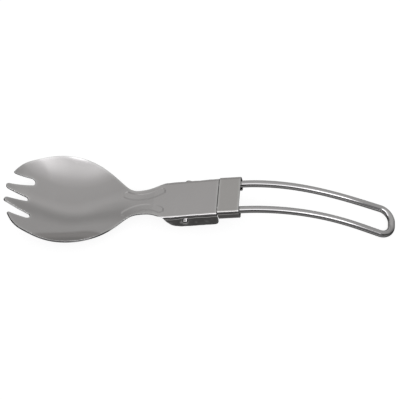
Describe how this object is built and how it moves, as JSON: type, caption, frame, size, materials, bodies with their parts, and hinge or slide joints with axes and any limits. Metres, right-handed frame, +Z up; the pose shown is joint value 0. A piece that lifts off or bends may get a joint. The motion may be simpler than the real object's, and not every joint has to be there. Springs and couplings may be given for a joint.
{
  "type": "folding spork",
  "caption": "Stainless steel folding camping spork: pressed bowl with tines, bent wire handle that folds under the bowl, and a sliding lock sleeve.",
  "frame": {"origin": "centre of the footprint of the opened spork on the table, as it lies on the bowl's bottom and the handle's end", "axes": "+X from the tines towards the handle's end, +Y across the width, +Z up from the table, bowl opening upwards"},
  "size_m": [0.1672, 0.0442, 0.019],
  "materials": {
    "pressed_steel": "satin polished stainless sheet with fine handling scratches",
    "drawn_wire": "bright drawn stainless wire",
    "sleeve_steel": "satin stainless sheet, slightly duller than the head"
  },
  "bodies": {
    "head": {"head": "pressed_steel"},
    "handle": {"wire_handle": "drawn_wire"},
    "sleeve": {"lock_sleeve": "sleeve_steel"}
  },
  "joints": [
    {"name": "handle_fold", "type": "hinge", "parent": "head", "child": "handle", "pos_m": [-0.0054, 0, 0.00988], "axis": [0, 1, 0], "range_deg": [0, 171]},
    {"name": "lock_slide", "type": "slide", "parent": "handle", "child": "sleeve", "axis": [0.9834, 0, 0.1817], "range_m": [0, 0.008]}
  ]
}
